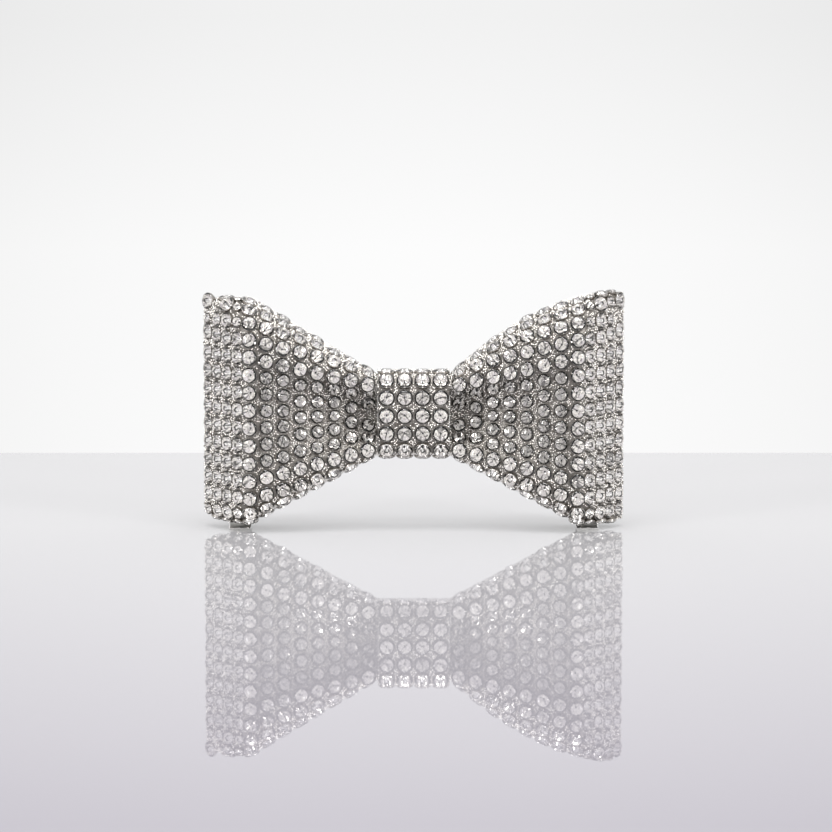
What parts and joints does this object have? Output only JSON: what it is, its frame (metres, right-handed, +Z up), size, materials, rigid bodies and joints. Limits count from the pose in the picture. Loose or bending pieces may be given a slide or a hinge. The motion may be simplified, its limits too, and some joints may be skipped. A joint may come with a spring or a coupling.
{
  "type": "bow brooch",
  "caption": "Bow-shaped brooch set all over with round brilliant stones in collets, with a pierced back, a hinged pin and a turning catch.",
  "frame": {"origin": "middle of the brooch's box at the height of the foot rails' underside", "axes": "+X along the bow to the right as seen from the front, +Y from the stones to the pin, +Z up"},
  "size_m": [0.0632, 0.0149, 0.0358],
  "materials": {
    "stone": "clear, faceted and polished",
    "collet_metal": "bright rhodium-coloured plate",
    "shell_metal": "darkened white metal",
    "back_metal": "satin rhodium-coloured plate",
    "rivet_metal": "burnished",
    "pin_fitting_metal": "polished",
    "pin_wire": "drawn and polished wire"
  },
  "bodies": {
    "frame": {"left_wing_plate": "shell_metal", "right_wing_plate": "shell_metal", "left_gallery": "back_metal", "right_gallery": "back_metal", "left_foot_rail": "back_metal", "right_foot_rail": "back_metal", "left_posts": "back_metal", "right_posts": "back_metal", "gallery_rivets": "rivet_metal", "knot_band": "shell_metal", "knot_back": "back_metal", "knot_core": "back_metal", "upper_bridge": "back_metal", "lower_bridge": "back_metal", "knot_rivets": "rivet_metal", "left_ridge_stones": "stone", "left_hollow_stones": "stone", "left_top_stones": "stone", "left_end_stones": "stone", "left_bottom_stones": "stone", "right_ridge_stones": "stone", "right_hollow_stones": "stone", "right_top_stones": "stone", "right_end_stones": "stone", "right_bottom_stones": "stone", "left_ridge_collets": "collet_metal", "left_hollow_collets": "collet_metal", "left_top_collets": "collet_metal", "left_end_collets": "collet_metal", "left_bottom_collets": "collet_metal", "right_ridge_collets": "collet_metal", "right_hollow_collets": "collet_metal", "right_top_collets": "collet_metal", "right_end_collets": "collet_metal", "right_bottom_collets": "collet_metal", "knot_stones": "stone", "knot_collets": "collet_metal", "hinge_base": "pin_fitting_metal", "hinge_rivet": "rivet_metal", "catch_base": "pin_fitting_metal"},
    "pin": {"pin_stem": "pin_wire"},
    "catch": {"catch_rotor": "pin_fitting_metal", "catch_lever": "pin_fitting_metal"}
  },
  "joints": [
    {"name": "pin_swing", "type": "hinge", "parent": "frame", "child": "pin", "pos_m": [-0.022, 0.0057, 0.0215], "axis": [0, 0, 1], "range_deg": [0, 100]},
    {"name": "catch_turn", "type": "hinge", "parent": "frame", "child": "catch", "pos_m": [0.019, 0.0057, 0.0215], "axis": [1, 0, 0], "range_deg": [0, 110]}
  ]
}
